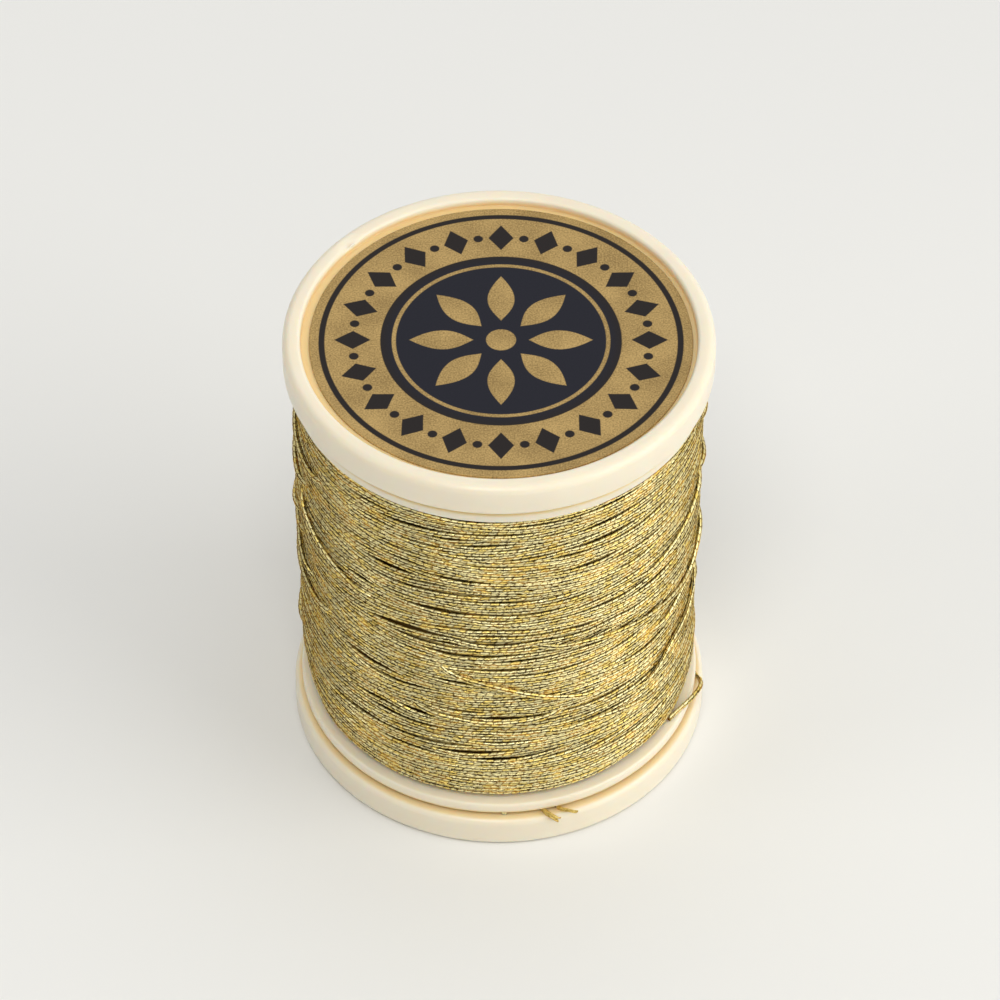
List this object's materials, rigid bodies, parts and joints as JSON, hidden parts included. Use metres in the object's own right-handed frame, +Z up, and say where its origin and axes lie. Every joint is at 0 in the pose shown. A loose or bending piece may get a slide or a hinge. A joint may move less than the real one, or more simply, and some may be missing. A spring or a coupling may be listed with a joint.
{
  "type": "spool of thread",
  "caption": "Small flanged plastic reel wound with metallic gold embroidery thread, with snap-locking end caps that pinch the thread ends and round paper labels in their recesses.",
  "frame": {"origin": "middle of the face that the spool stands on", "axes": "+Z up along the spool's axis; -Y is the front, where the thread ends come out of the base's seam; +X is right"},
  "size_m": [0.032, 0.032, 0.0391],
  "materials": {
    "reel_plastic": "satin moulded cream plastic, slightly translucent",
    "cap_plastic": "satin moulded cream plastic, slightly translucent",
    "label_paper": "coated paper, metallic gold ground with dark printed ornament",
    "metallic_thread": "twisted metallised gold yarn, sparkling"
  },
  "bodies": {
    "reel": {"reel_barrel": "reel_plastic", "thread_core": "metallic_thread", "thread_outer_layer": "metallic_thread", "start_tail": "metallic_thread", "locked_end": "metallic_thread"},
    "top_cap": {"top_cap": "cap_plastic", "top_label": "label_paper"},
    "base_cap": {"base_cap": "cap_plastic", "base_label": "label_paper"}
  },
  "joints": [
    {"name": "top_cap_slide", "type": "slide", "parent": "reel", "child": "top_cap", "axis": [0, 0, 1], "range_m": [0, 0.001]},
    {"name": "base_cap_slide", "type": "slide", "parent": "reel", "child": "base_cap", "axis": [0, 0, -1], "range_m": [0, 0.001]}
  ]
}
